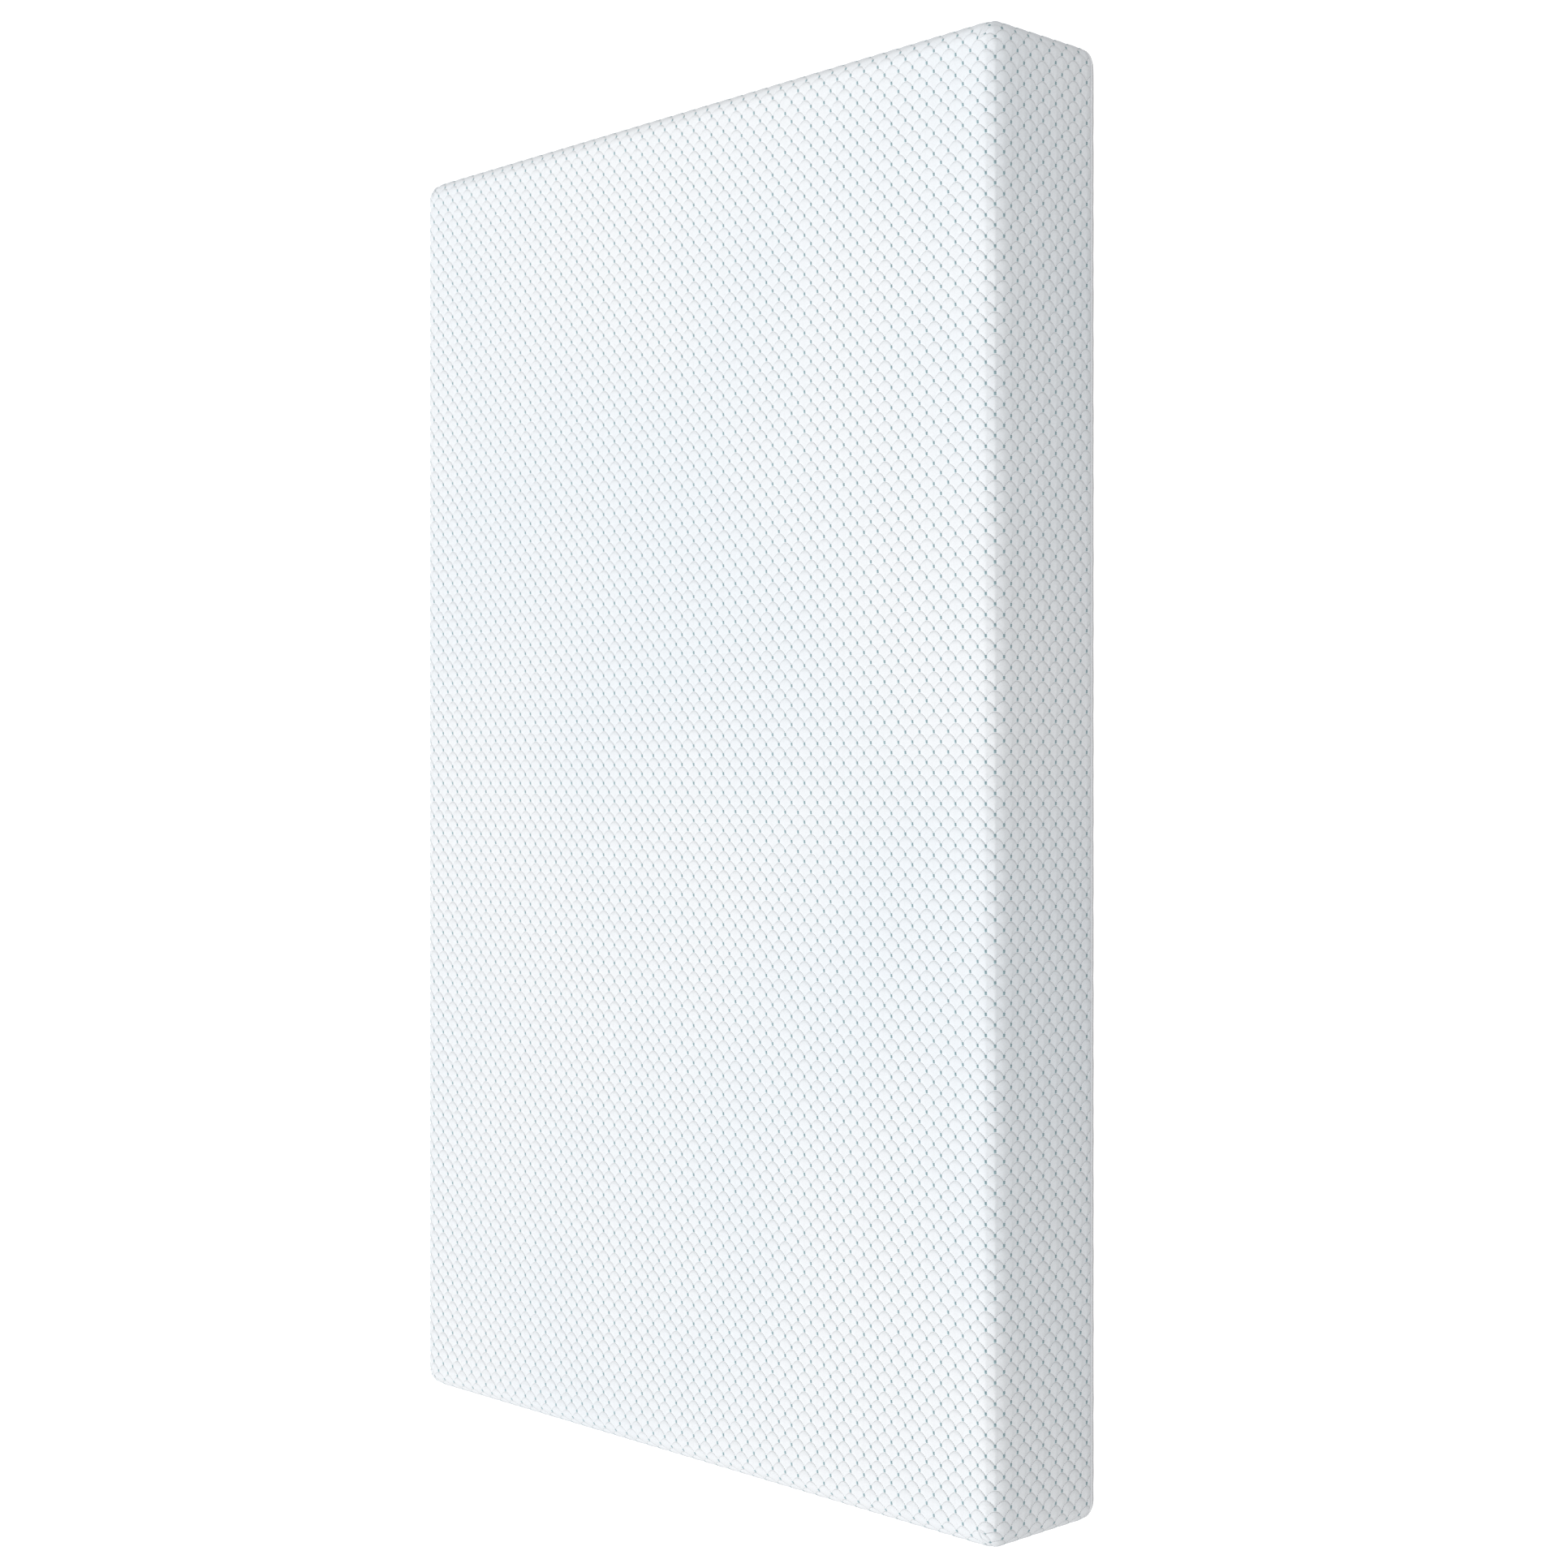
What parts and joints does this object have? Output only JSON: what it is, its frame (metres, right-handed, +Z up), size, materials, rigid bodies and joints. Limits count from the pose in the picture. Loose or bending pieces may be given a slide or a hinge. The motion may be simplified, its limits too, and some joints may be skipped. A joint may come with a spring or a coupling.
{
  "type": "memory foam mattress",
  "caption": "Rectangular foam mattress with rounded edges, layered foam core, inner sock and a zip-off knitted cover with fish-scale puffs.",
  "frame": {"origin": "centre of the underside, where the mattress rests", "axes": "+Z up out of the sleeping surface, +Y along the length, +X across the width; the zip is on the -X side"},
  "size_m": [1.2, 1.9, 0.21],
  "materials": {
    "knitted_cover": "matte knitted jacquard with raised fish-scale puffs and teal stitch dots",
    "sewing_thread": "matte polyester thread",
    "base_fabric": "matte grey woven underside fabric",
    "binding_ribbon": "matte ribbed ribbon",
    "label_ribbon": "satin ribbon, blank",
    "zip_tape": "matte herringbone tape",
    "zip_coil": "semi-gloss nylon monofilament",
    "zip_metal": "nickel plated",
    "barrier_knit": "matte fine knit",
    "support_foam": "open cell foam",
    "transition_foam": "open cell foam",
    "memory_foam": "fine open cell viscoelastic foam"
  },
  "bodies": {
    "mattress": {"cover_top": "knitted_cover", "cover_corner_seams": "sewing_thread", "cover_base_panel": "base_fabric", "base_seam_binding": "binding_ribbon", "care_label": "label_ribbon", "zip_tape_upper": "zip_tape", "zip_tape_lower": "zip_tape", "zip_coil_upper": "zip_coil", "zip_coil_lower": "zip_coil", "zip_top_stops": "zip_metal", "zip_bottom_stop": "zip_metal", "zip_garage": "binding_ribbon", "zip_end_tab": "binding_ribbon", "barrier_sock": "barrier_knit", "foam_base_layer": "support_foam", "foam_transition_layer": "transition_foam", "foam_memory_layer": "memory_foam"},
    "slider": {"zip_slider": "zip_metal"},
    "pull_tab": {"zip_pull_tab": "zip_metal"}
  },
  "joints": [
    {"name": "zip_slide", "type": "slide", "parent": "mattress", "child": "slider", "axis": [0, -1, 0], "range_m": [0, 1.684]},
    {"name": "pull_tab_hinge", "type": "hinge", "parent": "slider", "child": "pull_tab", "pos_m": [-0.59789, 0.842, 0.01858], "axis": [0.342, 0, -0.9397], "range_deg": [0, 150]}
  ]
}
